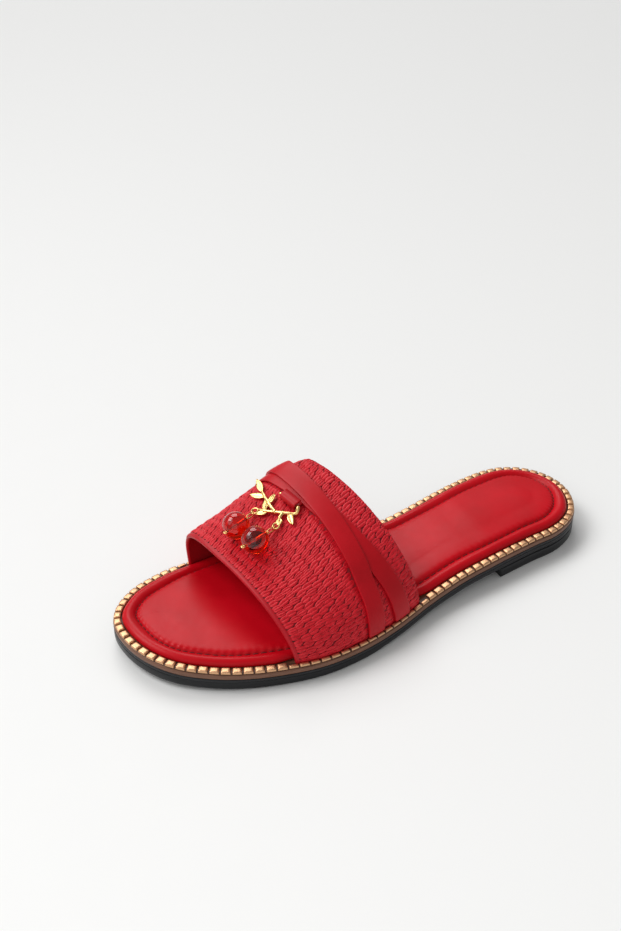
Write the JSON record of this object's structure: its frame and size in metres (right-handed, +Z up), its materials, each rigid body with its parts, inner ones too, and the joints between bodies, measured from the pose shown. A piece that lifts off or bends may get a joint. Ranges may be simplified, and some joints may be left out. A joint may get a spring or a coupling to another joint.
{
  "type": "slide sandal",
  "caption": "Flat slide sandal with a woven leather band, crossed straps, gold block rand, padded insole, low heel and a leafy gold ornament with hanging glass beads.",
  "frame": {"origin": "under the middle of the whole sandal's bounding box, on the ground", "axes": "+Y from toe to heel, +Z up, +X towards the outer side of the left foot"},
  "size_m": [0.0972, 0.2532, 0.0592],
  "materials": {
    "sole": "glossy black",
    "edge": "brown dyed edge",
    "gold": "polished pale gold",
    "red_leather": "smooth satin red",
    "red_weave": "woven red strips",
    "glass": "clear amber red"
  },
  "bodies": {
    "sandal": {"outsole": "sole", "heel": "sole", "midsole": "edge", "rand": "gold", "insole": "red_leather", "band": "red_weave", "straps": "red_leather", "tab": "red_leather", "ornament": "gold"},
    "link_a": {"link_a": "gold"},
    "pin_a": {"pin_a": "gold"},
    "bead_a": {"bead_a": "glass"},
    "link_b": {"link_b": "gold"},
    "pin_b": {"pin_b": "gold"},
    "bead_b": {"bead_b": "glass"}
  },
  "joints": [
    {"name": "link_a_lift", "type": "hinge", "parent": "sandal", "child": "link_a", "pos_m": [-0.02186, -0.05141, 0.04555], "axis": [-0.8634, -0.495, -0.0978], "range_deg": [0, 110]},
    {"name": "pin_a_swing", "type": "hinge", "parent": "link_a", "child": "pin_a", "pos_m": [-0.01981, -0.05506, 0.04594], "axis": [-0.1304, 0.0317, 0.991], "range_deg": [-20, 6]},
    {"name": "bead_a_spin", "type": "hinge", "parent": "pin_a", "child": "bead_a", "pos_m": [-0.01542, -0.06287, 0.04676], "axis": [0.4874, -0.8683, 0.0919], "continuous": true},
    {"name": "link_b_lift", "type": "hinge", "parent": "sandal", "child": "link_b", "pos_m": [-0.00708, -0.04725, 0.04541], "axis": [-0.9168, -0.3991, 0.0092], "range_deg": [0, 110]},
    {"name": "pin_b_swing", "type": "hinge", "parent": "link_b", "child": "pin_b", "pos_m": [-0.00541, -0.05109, 0.04576], "axis": [-0.0254, 0.0812, 0.9964], "range_deg": [-5, 20]},
    {"name": "bead_b_spin", "type": "hinge", "parent": "pin_b", "child": "bead_b", "pos_m": [-0.00182, -0.05931, 0.04652], "axis": [0.3984, -0.9133, 0.0846], "continuous": true}
  ]
}
